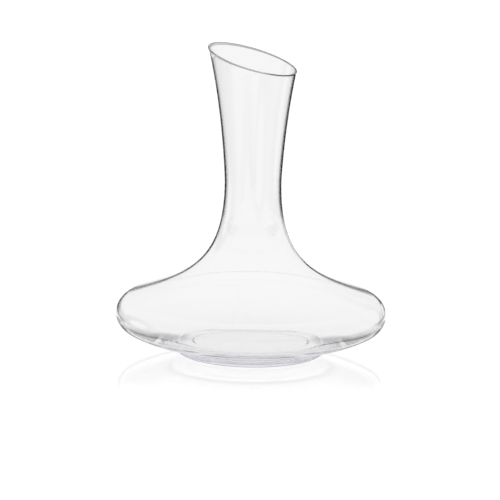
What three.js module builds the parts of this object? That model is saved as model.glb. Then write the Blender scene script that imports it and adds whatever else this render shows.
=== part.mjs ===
// A wine decanter of clear blown glass: a broad flat bowl on a low foot, a waisted neck
// and a flared mouth cut on a slant. Millimetres, +Z up, origin at the middle of the
// foot's resting plane. The high tip of the mouth points to -X.
//
// The outer wall is one meridian of four curves. The inner wall is that meridian set in
// by the thickness of the glass. Each named region of the vessel is turned from its own
// stretch of the two walls, and neighbours meet face to face on a level plane.

import * as THREE from 'three';

// Foot
const FOOT_RADIUS = 59.5;
const FOOT_HEIGHT = 5;
const FOOT_EDGE_ROUND = 1.8;
const SEAT_RADIUS = 57.5; // where the bowl stands on the foot
const RECESS_RADIUS = 47; // shallow hollow under the foot, inside the resting ring
const RECESS_DEPTH = 1.5;

// Bowl
const BOWL_RADIUS = 110;
const BELLY_HEIGHT = 32.2; // height of the widest ring
const BELLY_ROUND = 13.8; // radius of the round at the widest ring, seen from the side
const SEAT_SLOPE = 9; // degrees, where the underside leaves the foot
const UNDERSIDE_SLOPE = 29; // degrees, where the underside meets the round
const FLOOR_HEIGHT = 9.6; // top of the thick glass in the middle of the bowl

// Shoulder and neck
const SHOULDER_SLOPE = 18.4; // degrees, where the shoulder leaves the round
const SHOULDER_TOP = 96; // level at which the neck begins
const NECK_RADIUS = 23.1;
const NECK_HEIGHT = 140; // height of the waist

// Mouth
const LIP_START = 222; // level at which the lip begins
const FLARE_RADIUS = 38.2;
const FLARE_HEIGHT = 252; // the flare ends here, a little above the high tip
const FLARE_SLOPE = 13.7; // degrees off vertical at that height
const MOUTH_HEIGHT = 240.5; // top of the slanted edge, where it crosses above the axis
const MOUTH_SLANT = 15.9; // degrees off level
const BEAD_RADIUS = 0.75; // fire-polished edge
const BEAD_SETBACK = 0.45; // from the outer face of the wall in to the middle of the edge

// Glass
const WALL = 1.2;
const SEAT_WALL = 4.6; // thickness where the bowl leaves the foot

// Pulls: how far each curve holds the direction of its end
const SEAT_PULL = 8;
const UNDERSIDE_PULL = 13.5;
const SHOULDER_PULL = 56;
const BELOW_WAIST_PULL = 62;
const ABOVE_WAIST_PULL = 6;
const FLARE_PULL = 52;

// Fineness
const SEGMENTS = 48; // round the axis
const UNDERSIDE_STEPS = 6;
const BELLY_STEPS = 6; // each half of the round
const SHOULDER_STEPS = 14;
const FLARE_STEPS = 8;
const FOOT_EDGE_STEPS = 3;
const BEAD_STEPS = 8;
const SLIDE_PASSES = 6; // after which a slid point of the lip stays where it is
const LEVEL_GAP = 1; // clear height between the end of a stretch and its next point
const UPRIGHT = 90; // degrees
const BEAD_LEAN = 30; // degrees below level, where the round edge meets both walls

const radians = THREE.MathUtils.degToRad;

function point(radius, height) {
  return new THREE.Vector2(radius, height);
}

// The point reached from `start` after `distance` in the direction `angle`, in degrees
// from outwards, turning upwards.
function along(start, angle, distance) {
  const turn = radians(angle);
  return point(start.x + distance * Math.cos(turn), start.y + distance * Math.sin(turn));
}

// A smooth curve that leaves `start` at `startAngle` and reaches `end` at `endAngle`.
// The two pulls say how long each end holds its own direction.
function sweep(start, startAngle, startPull, end, endAngle, endPull) {
  return new THREE.CubicBezierCurve(
    start,
    along(start, startAngle, startPull),
    along(end, endAngle, -endPull),
    end,
  );
}

const seat = point(SEAT_RADIUS, FOOT_HEIGHT);
const bellyCentre = point(BOWL_RADIUS - BELLY_ROUND, BELLY_HEIGHT);
const bellyStart = along(bellyCentre, UNDERSIDE_SLOPE - UPRIGHT, BELLY_ROUND);
const bellyEnd = along(bellyCentre, UPRIGHT - SHOULDER_SLOPE, BELLY_ROUND);
const waist = point(NECK_RADIUS, NECK_HEIGHT);
const flareEnd = point(FLARE_RADIUS, FLARE_HEIGHT);

const underside = sweep(
  seat,
  SEAT_SLOPE,
  SEAT_PULL,
  bellyStart,
  UNDERSIDE_SLOPE,
  UNDERSIDE_PULL,
);
const lowerBelly = roundOfBelly(UNDERSIDE_SLOPE - UPRIGHT, 0);
const upperBelly = roundOfBelly(0, UPRIGHT - SHOULDER_SLOPE);
const shoulder = sweep(
  bellyEnd,
  2 * UPRIGHT - SHOULDER_SLOPE,
  SHOULDER_PULL,
  waist,
  UPRIGHT,
  BELOW_WAIST_PULL,
);
const flare = sweep(
  waist,
  UPRIGHT,
  ABOVE_WAIST_PULL,
  flareEnd,
  UPRIGHT - FLARE_SLOPE,
  FLARE_PULL,
);

// The part of the belly's round between two angles, in degrees above level.
function roundOfBelly(from, to) {
  const { x, y } = bellyCentre;
  return new THREE.EllipseCurve(x, y, BELLY_ROUND, BELLY_ROUND, radians(from), radians(to));
}

// A wall is sampled as pairs of points, one outside and one inside, along a curve. The
// thickness runs evenly from the curve's start to its end.
function wallPairs(curve, steps, startWall = WALL, endWall = WALL) {
  const pairs = [];
  for (let step = 0; step <= steps; step += 1) {
    const share = step / steps;
    const outside = curve.getPoint(share);
    const tangent = curve.getTangent(share);
    const wall = THREE.MathUtils.lerp(startWall, endWall, share);
    pairs.push({ outside, inside: point(outside.x - tangent.y * wall, outside.y + tangent.x * wall) });
  }
  return pairs;
}

// Pairs of neighbouring curves in one list, with each shared pair kept once.
function joined(...lists) {
  return lists.flatMap((pairs, index) => (index === 0 ? pairs : pairs.slice(1)));
}

const bowlWall = joined(
  wallPairs(underside, UNDERSIDE_STEPS, SEAT_WALL, WALL),
  wallPairs(lowerBelly, BELLY_STEPS),
);
const widestRing = {
  outside: point(BOWL_RADIUS, BELLY_HEIGHT),
  inside: point(BOWL_RADIUS - WALL, BELLY_HEIGHT),
};
bowlWall.splice(-1, 1, widestRing);
const upperWall = joined(
  wallPairs(upperBelly, BELLY_STEPS),
  wallPairs(shoulder, SHOULDER_STEPS),
  wallPairs(flare, FLARE_STEPS),
);

// Radius of a rising wall at a height. `side` is 'outside' or 'inside'.
function radiusAt(height, side) {
  const next = upperWall.findIndex((pair) => pair[side].y >= height);
  const above = upperWall[Math.max(next, 1)][side];
  const below = upperWall[Math.max(next, 1) - 1][side];
  const share = (height - below.y) / (above.y - below.y);
  return THREE.MathUtils.lerp(below.x, above.x, share);
}

// One side of the rising wall between two levels, from the lower to the upper.
function stretch(side, low, high) {
  const between = upperWall
    .map((pair) => pair[side])
    .filter((spot) => spot.y > low + LEVEL_GAP && spot.y < high - LEVEL_GAP);
  return [point(radiusAt(low, side), low), ...between, point(radiusAt(high, side), high)];
}

// Turns an outline of radius and height about the vertical axis.
function turned(outline) {
  return new THREE.LatheGeometry(outline, SEGMENTS).rotateX(Math.PI / 2);
}

// A closed ring of glass between two level planes.
function ringBetween(low, high) {
  const outside = stretch('outside', low, high);
  const inside = stretch('inside', low, high).reverse();
  return turned([...outside, ...inside, outside[0]]);
}

// Solid pad with a rounded edge and a shallow hollow underneath.
function footShape() {
  const edge = FOOT_RADIUS - FOOT_EDGE_ROUND;
  const outline = new THREE.Path();
  outline.moveTo(0, RECESS_DEPTH);
  outline.lineTo(RECESS_RADIUS - RECESS_DEPTH, RECESS_DEPTH);
  outline.lineTo(RECESS_RADIUS, 0);
  outline.lineTo(edge, 0);
  outline.absarc(edge, FOOT_EDGE_ROUND, FOOT_EDGE_ROUND, -Math.PI / 2, 0);
  outline.lineTo(FOOT_RADIUS, FOOT_HEIGHT - FOOT_EDGE_ROUND);
  outline.lineTo(SEAT_RADIUS, FOOT_HEIGHT);
  outline.lineTo(0, FOOT_HEIGHT);
  return turned(outline.getPoints(FOOT_EDGE_STEPS));
}

// Thick floor and flat underside, out to the widest ring.
function bowlShape() {
  const outside = bowlWall.map((pair) => pair.outside);
  const inside = bowlWall.map((pair) => pair.inside).reverse();
  return turned([point(0, FOOT_HEIGHT), ...outside, ...inside, point(0, FLOOR_HEIGHT)]);
}

// The lip is drawn with a level mouth. Its edge is a bead a little thicker than the wall.
function levelLipOutline() {
  const beadHeight = MOUTH_HEIGHT - BEAD_RADIUS;
  const beadCentre = radiusAt(beadHeight, 'outside') - BEAD_SETBACK;
  const neckOfBead = beadHeight - BEAD_RADIUS;
  const bead = new THREE.EllipseCurve(
    beadCentre,
    beadHeight,
    BEAD_RADIUS,
    BEAD_RADIUS,
    radians(-BEAD_LEAN),
    radians(2 * UPRIGHT + BEAD_LEAN),
  );
  const outside = stretch('outside', LIP_START, neckOfBead);
  const inside = stretch('inside', LIP_START, neckOfBead).reverse();
  return [...outside, ...bead.getPoints(BEAD_STEPS), ...inside, outside[0]];
}

// Slides every point of the lip along the flare, the more the nearer it is to the edge,
// until the edge lies in the slanted plane of the mouth.
function lipShape() {
  const shape = turned(levelLipOutline());
  const place = shape.getAttribute('position');
  const rise = Math.tan(radians(MOUTH_SLANT));
  for (let index = 0; index < place.count; index += 1) {
    const x = place.getX(index);
    const y = place.getY(index);
    const level = place.getZ(index);
    const share = (level - LIP_START) / (MOUTH_HEIGHT - LIP_START);
    const radius = Math.hypot(x, y);
    let slid = radius;
    let height = level;
    for (let pass = 0; pass < SLIDE_PASSES; pass += 1) {
      height = level - share * rise * (x / radius) * slid;
      slid = radius + radiusAt(height, 'outside') - radiusAt(level, 'outside');
    }
    place.setXYZ(index, (x / radius) * slid, (y / radius) * slid, height);
  }
  shape.computeVertexNormals();
  return shape;
}

function clearGlass() {
  return new THREE.MeshStandardMaterial({ color: 0xeaf0ee, roughness: 0.03, metalness: 0 });
}

function region(name, shape) {
  const mesh = new THREE.Mesh(shape, clearGlass());
  mesh.name = name;
  return mesh;
}

const decanter = new THREE.Group();
decanter.add(
  region('foot', footShape()),
  region('bowl', bowlShape()),
  region('shoulder', ringBetween(BELLY_HEIGHT, SHOULDER_TOP)),
  region('neck', ringBetween(SHOULDER_TOP, LIP_START)),
  region('lip', lipShape()),
);

export default decanter;
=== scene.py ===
"""Looks of the wine decanter: one body of clear blown glass on a white studio floor.

The glass is turned from a meridian in the same shape as the CAD walls, then its mouth is slid along
the flare to the slanted cut. It stands for all the CAD nodes, because the real vessel is one piece of
glass and any face between two nodes would show inside it. Metres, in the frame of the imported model.
"""

import math

import bmesh
import bpy
from mathutils import Euler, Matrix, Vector


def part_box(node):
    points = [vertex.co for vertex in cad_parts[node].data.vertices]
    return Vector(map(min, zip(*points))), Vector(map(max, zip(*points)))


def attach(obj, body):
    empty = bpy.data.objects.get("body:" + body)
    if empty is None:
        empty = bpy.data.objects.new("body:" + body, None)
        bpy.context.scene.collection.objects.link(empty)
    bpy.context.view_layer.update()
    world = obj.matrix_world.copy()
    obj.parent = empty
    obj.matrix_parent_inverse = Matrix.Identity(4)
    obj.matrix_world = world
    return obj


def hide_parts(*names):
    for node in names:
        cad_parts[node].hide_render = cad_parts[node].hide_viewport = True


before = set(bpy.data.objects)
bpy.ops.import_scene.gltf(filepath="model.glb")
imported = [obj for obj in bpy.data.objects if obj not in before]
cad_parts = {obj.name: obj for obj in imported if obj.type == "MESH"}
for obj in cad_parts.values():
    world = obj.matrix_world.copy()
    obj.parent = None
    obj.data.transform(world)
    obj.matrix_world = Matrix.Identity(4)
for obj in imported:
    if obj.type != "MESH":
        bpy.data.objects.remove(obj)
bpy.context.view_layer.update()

MM = 0.001

# Shape, repeated from the CAD walls where a node's box doesn't give it. Slopes are in degrees.
_, foot_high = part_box("foot")
_, bowl_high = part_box("bowl")
lip_low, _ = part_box("lip")
FOOT_RADIUS = foot_high.x
FOOT_HEIGHT = foot_high.z
BOWL_RADIUS = bowl_high.x
BELLY_HEIGHT = bowl_high.z
LIP_START = lip_low.z
FOOT_EDGE_ROUND = 1.8 * MM
SEAT_RADIUS = 57.5 * MM
RECESS_RADIUS = 47 * MM
RECESS_DEPTH = 1.5 * MM
BELLY_ROUND = 13.8 * MM
SEAT_SLOPE = 9
UNDERSIDE_SLOPE = 29
FLOOR_HEIGHT = 9.6 * MM
SHOULDER_SLOPE = 18.4
NECK_RADIUS = 23.1 * MM
NECK_HEIGHT = 140 * MM
FLARE_RADIUS = 38.2 * MM
FLARE_HEIGHT = 252 * MM
FLARE_SLOPE = 13.7
MOUTH_HEIGHT = 240.48 * MM  # 0.02 mm below the CAD's, so the finer edge stays inside the CAD's box
MOUTH_SLANT = 15.9
BEAD_RADIUS = 0.75 * MM
BEAD_SETBACK = 0.45 * MM
WALL = 1.2 * MM
SEAT_WALL = 4.6 * MM

# Pulls: how far each curve holds the direction of its end
SEAT_PULL = 8 * MM
UNDERSIDE_PULL = 13.5 * MM
SHOULDER_PULL = 56 * MM
BELOW_WAIST_PULL = 62 * MM
ABOVE_WAIST_PULL = 6 * MM
FLARE_PULL = 52 * MM
RECESS_PULL = 1 * MM
GROOVE_PULL = 1.2 * MM

# Small turns of the outline
RECESS_EDGE = 1.5 * MM  # half the width of the soft step from the hollow down to the resting ring
RING_INSETS = (8 * MM, 4 * MM)  # inwards from the foot's radius, two points on the resting ring
FOOT_EDGE_END = 20  # degrees above level, where the foot's round edge turns into the groove
BEAD_LEAN = 30  # degrees below level, where the bead meets both walls
FLOOR_POWER = 3  # how late the floor inside begins to rise towards its edge

# Fineness of the turned glass
SEGMENTS = 192  # round the axis
RECESS_STEPS = 12
RECESS_EDGE_STEPS = 10
FOOT_EDGE_STEPS = 10
GROOVE_STEPS = 8
UNDERSIDE_STEPS = 24
BELLY_STEPS = 36
SHOULDER_STEPS = 60
FLARE_STEPS = 48
BEAD_STEPS = 16
FLOOR_STEPS = 24
SLIDE_PASSES = 6  # after which a slid point of the lip stays where it is
LEVEL_GAP = 1 * MM  # clear height between the last point of a wall and its end
ON_AXIS = 1e-7  # a point with a smaller radius lies on the axis

# Glass
GLASS_IOR = 1.5
GLASS_CLEAR = (1, 1, 1, 1)
GLASS_TINT = (0.55, 0.5, 0.75, 1)
TINT_DENSITY = 2
# Painted shade on the rim of the mouth, standing in for the dark edge that bent light shows there
RIM_PAINTED_SHADE = (0.55, 0.57, 0.61, 1)
RIM_SHADE_START = 2.2 * BEAD_RADIUS  # below the plane of the mouth, where the painted shade begins
RIM_SHADE_FULL = 1.4 * BEAD_RADIUS  # below that plane, from where on the painted shade is full
WAVE_SCALE = 50
WAVE_DETAIL = 3
WAVE_ROUGHNESS = 0.6
WAVE_STRENGTH = 0.08
WAVE_DEPTH = 0.3 * MM
LIGHT_BOUNCES = 32  # light crosses many surfaces in the foot, and with 12 it comes out black

# Camera: metres, degrees, and millimetres for the lens and its sensor
CAMERA_AZIMUTH = 20.5
CAMERA_DISTANCE = 3.0
CAMERA_HEIGHT = 0.709
CAMERA_LENS = 272
CAMERA_SENSOR = 36
CAMERA_ROLL = 0.92
CAMERA_NEAR = 0.1
CAMERA_FAR = 100
AIM_HEIGHT = 0.0841
AIM_SIDE = -0.0016

# Floor
FLOOR_SIZE = 6.0
FLOOR_CELLS = 8
FLOOR_DROP = 0.2 * MM  # below the foot, so the two faces don't share a plane
FLOOR_WHITE = 1.08  # tone that the camera sees
MATT_GREY = (0.1, 0.1, 0.1, 1)  # light that the near floor scatters
NEAR_TONE = 0.85  # tone that the glass shows
# Painted shadow: the floor that the glass shows is darker under the foot
UNDER_FOOT_SHADOW = 0.75
UNDER_FOOT_END = 0.7  # share of the bowl's radius, from where on the near tone is full
NEAR_FLOOR = (0.19, 0.22)  # where the floor that the glass shows begins to fade, and where it ends
FLOOR_SQUEEZE = 0.45  # its reach aside, as a share of its reach in depth
POLISH = 0.25  # strength of the mirror image near the foot
POLISH_START = 0.1  # from the axis, where it begins to fade
POLISH_END = 0.26  # where it has faded out
# Painted shadows: soft dark patches on the floor that the glass shows, the same at both sides: metres
# from the axis, aside and away from the camera, then the reach of the full shade, where it ends, and
# its tone.
# They are placed to draw the dark wedges in the base and the lower outline.
SHADES = (
    (0.08, 0.01, 0.022, 0.036, 0.25),
    (0.112, 0.034, 0.014, 0.036, 0.15),
    (0.14, 0.08, 0.02, 0.04, 0.4),
)

# Bright panels that the glass shows: azimuth, elevation, then degrees from the panel's middle to
# where its light begins to fall and where it ends, and how much of it shows
PANELS = (
    (CAMERA_AZIMUTH + 1, -13, 9, 15, 1),  # behind the vessel in the photo's view
    (45, -25, 7, 12, 1),
    (90, -3, 9, 15, 1),
    (225, -15, 9, 15, 1),
    (-1, -1, 5, 8, 0.85),
    (CAMERA_AZIMUTH, 14, 6, 10, 1),  # what the floor mirrors round the foot
)
# Dark surrounds of the panels: the same first four values, then how dark they are
SURROUNDS = (
    (CAMERA_AZIMUTH + 1, -14, 17, 23, 1),
    (90, -3, 20, 30, 0.6),
    (225, -15, 18, 28, 0.4),
)
# Dark flags behind the panels: azimuth, degrees beside it to where they begin to fade and where they
# end, the elevations where they begin to fade and where they end, and how dark they are
FLAGS = (
    (CAMERA_AZIMUTH + 1, 30, 62, -9, -1, 1),
    (CAMERA_AZIMUTH + 1, 24, 36, 2, 8, 1),
    (90, 25, 50, 2, 8, 0.6),
    (225, 20, 50, -9, -1, 0.4),
)
PANEL_LEVEL = 0.93
ROOM_LEVEL = 0.85
FLAG_LEVEL = 0.0
BACKDROP_WHITE = 1.03  # what the camera sees straight
PLAIN_WHITE = (1, 1, 1, 1)

# A Mix node's colour sockets share their names with its number sockets, so they go by position
MIX_COLOUR_A = 6
MIX_COLOUR_B = 7
MIX_COLOUR_RESULT = 2


def polar(start, angle, distance):
    """The point reached from start after a distance, with the angle from outwards, turning upwards."""
    turn = math.radians(angle)
    return (start[0] + distance * math.cos(turn), start[1] + distance * math.sin(turn))


def sweep(start, start_angle, start_pull, end, end_angle, end_pull, steps):
    """Points and tangents of a curve that leaves start and reaches end in the given directions."""
    a, b = start, polar(start, start_angle, start_pull)
    c, d = polar(end, end_angle, -end_pull), end
    made = []
    for step in range(steps + 1):
        t = step / steps
        u = 1 - t
        spot = tuple(
            u**3 * a[i] + 3 * u * u * t * b[i] + 3 * u * t * t * c[i] + t**3 * d[i] for i in (0, 1)
        )
        way = tuple(
            u * u * (b[i] - a[i]) + 2 * u * t * (c[i] - b[i]) + t * t * (d[i] - c[i]) for i in (0, 1)
        )
        size = math.hypot(*way)
        made.append((spot, (way[0] / size, way[1] / size)))
    return made


def arc(centre, radius, start_angle, end_angle, steps):
    """Points and tangents of an anticlockwise arc, its angles in degrees from outwards."""
    made = []
    for step in range(steps + 1):
        angle = start_angle + (end_angle - start_angle) * step / steps
        made.append((polar(centre, angle, radius), polar((0, 0), angle + 90, 1)))
    return made


def inset(samples, start_wall=WALL, end_wall=WALL):
    """The inner side of a stretch of wall, set in by a thickness that runs evenly along it."""
    made = []
    for step, (spot, way) in enumerate(samples):
        wall = start_wall + (end_wall - start_wall) * step / (len(samples) - 1)
        made.append((spot[0] - way[1] * wall, spot[1] + way[0] * wall))
    return made


def spots(samples):
    """The points alone, without their tangents."""
    return [spot for spot, way in samples]


def joined(*lists):
    """Neighbouring stretches as one list, with each shared point kept once."""
    made = list(lists[0])
    for points in lists[1:]:
        made += points[1:]
    return made


BELLY_CENTRE = (BOWL_RADIUS - BELLY_ROUND, BELLY_HEIGHT)
BELLY_START = polar(BELLY_CENTRE, UNDERSIDE_SLOPE - 90, BELLY_ROUND)
SEAT = (SEAT_RADIUS, FOOT_HEIGHT)
WAIST = (NECK_RADIUS, NECK_HEIGHT)
FLARE_END = (FLARE_RADIUS, FLARE_HEIGHT)

underside = sweep(
    SEAT, SEAT_SLOPE, SEAT_PULL, BELLY_START, UNDERSIDE_SLOPE, UNDERSIDE_PULL, UNDERSIDE_STEPS
)
belly = arc(BELLY_CENTRE, BELLY_ROUND, UNDERSIDE_SLOPE - 90, 90 - SHOULDER_SLOPE, BELLY_STEPS)
BELLY_END = belly[-1][0]
shoulder = sweep(
    BELLY_END, 180 - SHOULDER_SLOPE, SHOULDER_PULL, WAIST, 90, BELOW_WAIST_PULL, SHOULDER_STEPS
)
flare = sweep(WAIST, 90, ABOVE_WAIST_PULL, FLARE_END, 90 - FLARE_SLOPE, FLARE_PULL, FLARE_STEPS)

outer_wall = joined(spots(underside), spots(belly), spots(shoulder), spots(flare))
inner_wall = joined(inset(underside, SEAT_WALL, WALL), inset(belly), inset(shoulder), inset(flare))


def radius_at(wall, height):
    """Radius of a rising wall at a height above the belly."""
    for below, above in zip(wall, wall[1:]):
        if below[1] <= height <= above[1] and below[1] > BELLY_HEIGHT:
            share = (height - below[1]) / (above[1] - below[1])
            return below[0] + share * (above[0] - below[0])
    return wall[-1][0]


def below_height(wall, height):
    """The stretch of a wall up to a height near the mouth, with its end on that height."""
    kept = [spot for spot in wall if spot[1] < height - LEVEL_GAP]
    return kept + [(radius_at(wall, height), height)]


def foot_outline():
    """From the middle of the underside out over the hollow and the ring, then up to the seat."""
    edge_centre = (FOOT_RADIUS - FOOT_EDGE_ROUND, FOOT_EDGE_ROUND)
    hollow = [(RECESS_RADIUS * i / RECESS_STEPS, RECESS_DEPTH) for i in range(RECESS_STEPS - 1)]
    step_start = (RECESS_RADIUS - RECESS_EDGE, RECESS_DEPTH)
    step_end = (RECESS_RADIUS + RECESS_EDGE, 0)
    step_down = sweep(step_start, 0, RECESS_PULL, step_end, 0, RECESS_PULL, RECESS_EDGE_STEPS)
    ring = [(FOOT_RADIUS - width, 0) for width in RING_INSETS]
    edge = spots(arc(edge_centre, FOOT_EDGE_ROUND, -90, FOOT_EDGE_END, FOOT_EDGE_STEPS))
    groove = sweep(
        edge[-1], 90 + FOOT_EDGE_END, GROOVE_PULL, SEAT, SEAT_SLOPE, GROOVE_PULL, GROOVE_STEPS
    )
    return hollow + spots(step_down) + ring + joined(edge, spots(groove))


def meridian():
    """Outline of the glass, from the middle of its underside out and over the lip to the floor."""
    bead_height = MOUTH_HEIGHT - BEAD_RADIUS
    bead_centre = (radius_at(outer_wall, bead_height) - BEAD_SETBACK, bead_height)
    bead = spots(arc(bead_centre, BEAD_RADIUS, -BEAD_LEAN, 180 + BEAD_LEAN, BEAD_STEPS))
    bead_neck = bead_height - BEAD_RADIUS
    outside = below_height(outer_wall, bead_neck)
    inside = below_height(inner_wall, bead_neck)[::-1]
    floor_radius, floor_edge = inner_wall[0]
    floor_rise = floor_edge - FLOOR_HEIGHT
    floor = [
        (floor_radius * i / FLOOR_STEPS, FLOOR_HEIGHT + floor_rise * (i / FLOOR_STEPS) ** FLOOR_POWER)
        for i in range(FLOOR_STEPS - 1, -1, -1)
    ]
    return joined(foot_outline(), outside) + bead + inside + floor


def slanted(radius, height, cosine):
    """A point of the level mouth slid along the flare towards the slanted cut."""
    if height <= LIP_START:
        return radius, height
    share = (height - LIP_START) / (MOUTH_HEIGHT - LIP_START)
    rise = math.tan(math.radians(MOUTH_SLANT))
    slid, level = radius, height
    for _ in range(SLIDE_PASSES):
        level = height - share * rise * cosine * slid
        slid = radius + radius_at(outer_wall, level) - radius_at(outer_wall, height)
    return slid, level


def placed_object(name, mesh):
    """A new object of the scene made from a bmesh, which is used up."""
    data = bpy.data.meshes.new(name)
    mesh.to_mesh(data)
    mesh.free()
    made = bpy.data.objects.new(name, data)
    bpy.context.scene.collection.objects.link(made)
    return made


def turn_glass():
    """The whole vessel as one closed mesh."""
    mesh = bmesh.new()
    rings = []
    for radius, height in meridian():
        if radius < ON_AXIS:
            rings.append([mesh.verts.new((0, 0, height))])
            continue
        ring = []
        for segment in range(SEGMENTS):
            turn = 2 * math.pi * segment / SEGMENTS
            r, z = slanted(radius, height, math.cos(turn))
            ring.append(mesh.verts.new((r * math.cos(turn), r * math.sin(turn), z)))
        rings.append(ring)
    for ring, following in zip(rings, rings[1:]):
        for segment in range(SEGMENTS):
            after = (segment + 1) % SEGMENTS
            if len(ring) == 1:
                mesh.faces.new((ring[0], following[after], following[segment]))
            elif len(following) == 1:
                mesh.faces.new((ring[segment], ring[after], following[0]))
            else:
                mesh.faces.new((ring[segment], ring[after], following[after], following[segment]))
    bmesh.ops.recalc_face_normals(mesh, faces=mesh.faces)
    for face in mesh.faces:
        face.smooth = True
    return placed_object("decanter_glass", mesh)


def new_material(name):
    """A new material with its nodes and links."""
    material = bpy.data.materials.new(name)
    material.use_nodes = True
    return material, material.node_tree.nodes, material.node_tree.links


def node_of(nodes, kind, **values):
    """A new node with some of its input sockets set by name."""
    node = nodes.new(kind)
    for name, value in values.items():
        node.inputs[name].default_value = value
    return node


def fill(links, socket, value):
    """Links an output to a socket, or sets the socket to a number."""
    if isinstance(value, (int, float)):
        socket.default_value = value
    else:
        links.new(value, socket)


def smooth_share(nodes, links, source, start, end, low=0, high=1):
    """A value that runs smoothly from low to high as the source runs from start to end."""
    share = nodes.new("ShaderNodeMapRange")
    share.interpolation_type = "SMOOTHSTEP"
    share.inputs["From Min"].default_value = start
    share.inputs["From Max"].default_value = end
    share.inputs["To Min"].default_value = low
    share.inputs["To Max"].default_value = high
    links.new(source, share.inputs["Value"])
    return share.outputs["Result"]


def maths(nodes, links, operation, *values):
    """The result of a Math node on numbers or outputs."""
    node = nodes.new("ShaderNodeMath")
    node.operation = operation
    for socket, value in zip(node.inputs, values):
        fill(links, socket, value)
    return node.outputs["Value"]


def vector_maths(nodes, links, operation, source, constant=(0, 0, 0)):
    """A Vector Math node on an output and a constant vector."""
    node = nodes.new("ShaderNodeVectorMath")
    node.operation = operation
    node.inputs[1].default_value = constant
    links.new(source, node.inputs[0])
    return node


def blended(nodes, links, share, first, second):
    """A value between two numbers or outputs."""
    node = nodes.new("ShaderNodeMix")
    node.data_type = "FLOAT"
    links.new(share, node.inputs["Factor"])
    fill(links, node.inputs["A"], first)
    fill(links, node.inputs["B"], second)
    return node.outputs["Result"]


def mixed(nodes, links, share, first, second):
    """A mix of two shaders."""
    node = nodes.new("ShaderNodeMixShader")
    links.new(share, node.inputs["Fac"])
    links.new(first, node.inputs[1])
    links.new(second, node.inputs[2])
    return node.outputs["Shader"]


def rim_painted_shade(nodes, links, place):
    """Colour of the glass: clear, with painted shade in a grey band along the edge of the mouth."""
    slope = (math.tan(math.radians(MOUTH_SLANT)), 0, 1)
    rise = vector_maths(nodes, links, "DOT_PRODUCT", place, slope).outputs["Value"]
    share = smooth_share(nodes, links, rise, MOUTH_HEIGHT - RIM_SHADE_START, MOUTH_HEIGHT - RIM_SHADE_FULL)
    colour = nodes.new("ShaderNodeMix")
    colour.data_type = "RGBA"
    links.new(share, colour.inputs["Factor"])
    colour.inputs[MIX_COLOUR_A].default_value = GLASS_CLEAR
    colour.inputs[MIX_COLOUR_B].default_value = RIM_PAINTED_SHADE
    return colour.outputs[MIX_COLOUR_RESULT]


def clear_glass():
    """Clear glass with a slightly wavy surface and a faint tint through its depth."""
    material, nodes, links = new_material("clear_glass")
    shader = nodes["Principled BSDF"]
    shader.inputs["Roughness"].default_value = 0
    shader.inputs["IOR"].default_value = GLASS_IOR
    shader.inputs["Transmission Weight"].default_value = 1
    place = nodes.new("ShaderNodeTexCoord").outputs["Object"]
    # base colour with painted shade along the rim
    links.new(rim_painted_shade(nodes, links, place), shader.inputs["Base Color"])
    waves = node_of(
        nodes, "ShaderNodeTexNoise", Scale=WAVE_SCALE, Detail=WAVE_DETAIL, Roughness=WAVE_ROUGHNESS
    )
    links.new(place, waves.inputs["Vector"])
    bump = node_of(nodes, "ShaderNodeBump", Strength=WAVE_STRENGTH, Distance=WAVE_DEPTH)
    links.new(waves.outputs["Fac"], bump.inputs["Height"])
    links.new(bump.outputs["Normal"], shader.inputs["Normal"])
    tint = node_of(nodes, "ShaderNodeVolumeAbsorption", Color=GLASS_TINT, Density=TINT_DENSITY)
    links.new(tint.outputs["Volume"], nodes["Material Output"].inputs["Volume"])
    return material


def squeezed_place(nodes, links, place):
    """Places on the floor in the camera's turn, with the depth from the camera drawn together."""
    squeeze = nodes.new("ShaderNodeMapping")
    squeeze.vector_type = "TEXTURE"
    squeeze.inputs["Rotation"].default_value[2] = math.radians(CAMERA_AZIMUTH)
    squeeze.inputs["Scale"].default_value = (1, 1 / FLOOR_SQUEEZE, 1)
    links.new(place, squeeze.inputs["Vector"])
    return squeeze.outputs["Vector"]


def distance_from(nodes, links, place, spot):
    """Distance of a place from a fixed spot."""
    return vector_maths(nodes, links, "DISTANCE", place, spot).outputs["Value"]


def camera_right():
    """Level direction to the right of the camera."""
    turn = math.radians(CAMERA_AZIMUTH)
    return Vector((math.cos(turn), math.sin(turn), 0))


def floor_glow(nodes, links, place, distance):
    """Tone of the floor as the glass shows it, with painted shadows under the foot and at both sides.
    """
    ahead = direction(CAMERA_AZIMUTH, 0)
    reach = BOWL_RADIUS * UNDER_FOOT_END
    tone = smooth_share(nodes, links, distance, FOOT_RADIUS, reach, UNDER_FOOT_SHADOW, NEAR_TONE)
    # painted shadows at both sides of the bowl
    for aside, away, full, end, shade_tone in SHADES:
        for side in (-1, 1):
            spot = camera_right() * aside * side + ahead * away
            from_shade = distance_from(nodes, links, place, spot)
            shade = smooth_share(nodes, links, from_shade, full, end, shade_tone, 1)
            tone = maths(nodes, links, "MULTIPLY", tone, shade)
    return tone


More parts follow.
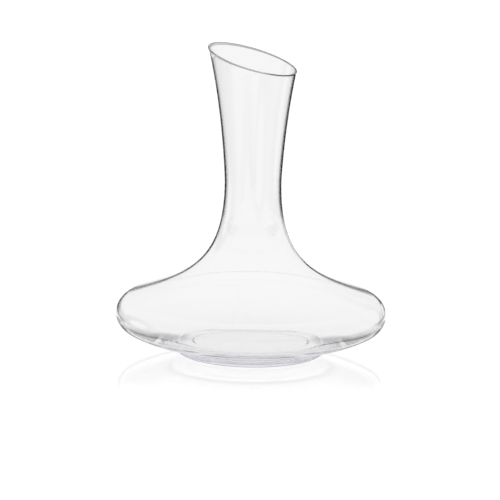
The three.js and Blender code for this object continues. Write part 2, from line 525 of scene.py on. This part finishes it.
def floor_material():
    """White with a faint fading mirror image for the camera, and painted shadows where glass shows it.
    """
    material, nodes, links = new_material("white_floor")
    nodes.clear()
    output = nodes.new("ShaderNodeOutputMaterial")
    place = nodes.new("ShaderNodeTexCoord").outputs["Object"]
    path = nodes.new("ShaderNodeLightPath")
    distance = distance_from(nodes, links, place, (0, 0, 0))

    white = node_of(nodes, "ShaderNodeEmission", Strength=FLOOR_WHITE)
    mirror = node_of(nodes, "ShaderNodeBsdfGlossy", Roughness=0)
    polish = smooth_share(nodes, links, distance, POLISH_END, POLISH_START, 0, POLISH)
    seen = mixed(nodes, links, polish, white.outputs[0], mirror.outputs[0])

    glow = nodes.new("ShaderNodeEmission")
    links.new(floor_glow(nodes, links, place, distance), glow.inputs["Strength"])
    matt = node_of(nodes, "ShaderNodeBsdfDiffuse", Color=MATT_GREY)
    lit = nodes.new("ShaderNodeAddShader")
    links.new(glow.outputs[0], lit.inputs[0])
    links.new(matt.outputs[0], lit.inputs[1])
    open_air = nodes.new("ShaderNodeBsdfTransparent")
    squeezed = distance_from(nodes, links, squeezed_place(nodes, links, place), (0, 0, 0))
    beyond = smooth_share(nodes, links, squeezed, *NEAR_FLOOR)
    bent = mixed(nodes, links, beyond, lit.outputs[0], open_air.outputs[0])

    both = mixed(nodes, links, path.outputs["Is Camera Ray"], bent, seen)
    links.new(both, output.inputs["Surface"])
    return material


def studio_floor():
    """The floor under the vessel, which is part of the stage and not of the object."""
    mesh = bmesh.new()
    bmesh.ops.create_grid(mesh, x_segments=FLOOR_CELLS, y_segments=FLOOR_CELLS, size=FLOOR_SIZE / 2)
    floor = placed_object("studio_floor", mesh)
    floor.data.materials.append(floor_material())
    floor.location.z = -FLOOR_DROP


def direction(azimuth, elevation):
    """Unit vector from degrees of azimuth, to the left from +Y, and of elevation."""
    a, e = math.radians(azimuth), math.radians(elevation)
    return Vector((-math.sin(a) * math.cos(e), math.cos(a) * math.cos(e), math.sin(e)))


def within(nodes, links, source, azimuth, elevation, inner, outer):
    """1 where the source points inside the inner angle of a direction, falling to 0 at the outer."""
    way = direction(azimuth, elevation)
    cosine = vector_maths(nodes, links, "DOT_PRODUCT", source, way).outputs["Value"]
    far, near = math.cos(math.radians(outer)), math.cos(math.radians(inner))
    return smooth_share(nodes, links, cosine, far, near)


def highest(nodes, links, sources):
    """The highest of several values."""
    most = sources[0]
    for source in sources[1:]:
        most = maths(nodes, links, "MAXIMUM", most, source)
    return most


def surroundings(nodes, links, ahead):
    """Brightness that bent and mirrored rays find: bright panels over dark flags in a light room."""
    flatten = vector_maths(nodes, links, "MULTIPLY", ahead, (1, 1, 0)).outputs["Vector"]
    level_way = vector_maths(nodes, links, "NORMALIZE", flatten).outputs["Vector"]
    split = nodes.new("ShaderNodeSeparateXYZ")
    links.new(ahead, split.inputs[0])
    panels, flags = [], []
    for azimuth, elevation, width, edge, share in PANELS:
        disc = within(nodes, links, ahead, azimuth, elevation, width, edge)
        panels.append(maths(nodes, links, "MULTIPLY", disc, share))
    for azimuth, width, edge, low, high, depth in FLAGS:
        beside = within(nodes, links, level_way, azimuth, 0, width, edge)
        full, end = math.sin(math.radians(low)), math.sin(math.radians(high))
        below = smooth_share(nodes, links, split.outputs["Z"], end, full, 0, depth)
        flags.append(maths(nodes, links, "MULTIPLY", beside, below))
    for azimuth, elevation, width, edge, depth in SURROUNDS:
        ring = within(nodes, links, ahead, azimuth, elevation, width, edge)
        flags.append(maths(nodes, links, "MULTIPLY", ring, depth))
    flag = highest(nodes, links, flags)
    room = maths(nodes, links, "MULTIPLY_ADD", flag, FLAG_LEVEL - ROOM_LEVEL, ROOM_LEVEL)
    return blended(nodes, links, highest(nodes, links, panels), room, PANEL_LEVEL)


def studio_light():
    """Plain white for the camera, and the surroundings for the rays that glass bends or mirrors."""
    scene = bpy.context.scene
    world = bpy.data.worlds.new("studio")
    scene.world = world
    world.use_nodes = True
    nodes, links = world.node_tree.nodes, world.node_tree.links
    ahead = nodes.new("ShaderNodeTexCoord").outputs["Generated"]
    path = nodes.new("ShaderNodeLightPath").outputs
    bent = maths(nodes, links, "MAXIMUM", path["Is Glossy Ray"], path["Is Transmission Ray"])
    seen = blended(nodes, links, bent, BACKDROP_WHITE, surroundings(nodes, links, ahead))
    background = nodes["Background"]
    links.new(seen, background.inputs["Strength"])
    background.inputs["Color"].default_value = PLAIN_WHITE
    scene.view_settings.view_transform = "Standard"
    scene.cycles.max_bounces = LIGHT_BOUNCES
    scene.cycles.transmission_bounces = LIGHT_BOUNCES
    scene.cycles.glossy_bounces = LIGHT_BOUNCES


def photo_camera():
    """The photo's view: a long lens far off, looking gently down."""
    data = bpy.data.cameras.new("camera")
    camera = bpy.data.objects.new("camera", data)
    bpy.context.scene.collection.objects.link(camera)
    turn = math.radians(CAMERA_AZIMUTH)
    across, back = CAMERA_DISTANCE * math.sin(turn), CAMERA_DISTANCE * math.cos(turn)
    camera.location = (across, -back, CAMERA_HEIGHT)
    aim = Vector((0, 0, AIM_HEIGHT)) + camera_right() * AIM_SIDE
    look = (aim - camera.location).to_track_quat("-Z", "Y")
    roll = Euler((0, 0, math.radians(CAMERA_ROLL))).to_quaternion()
    camera.rotation_mode = "QUATERNION"
    camera.rotation_quaternion = look @ roll
    data.lens = CAMERA_LENS
    data.sensor_width = CAMERA_SENSOR
    data.clip_start = CAMERA_NEAR
    data.clip_end = CAMERA_FAR
    bpy.context.scene.camera = camera


photo_camera()
studio_floor()
studio_light()
glass = turn_glass()
glass.data.materials.append(clear_glass())
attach(glass, "root")
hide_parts("foot", "bowl", "shoulder", "neck", "lip")
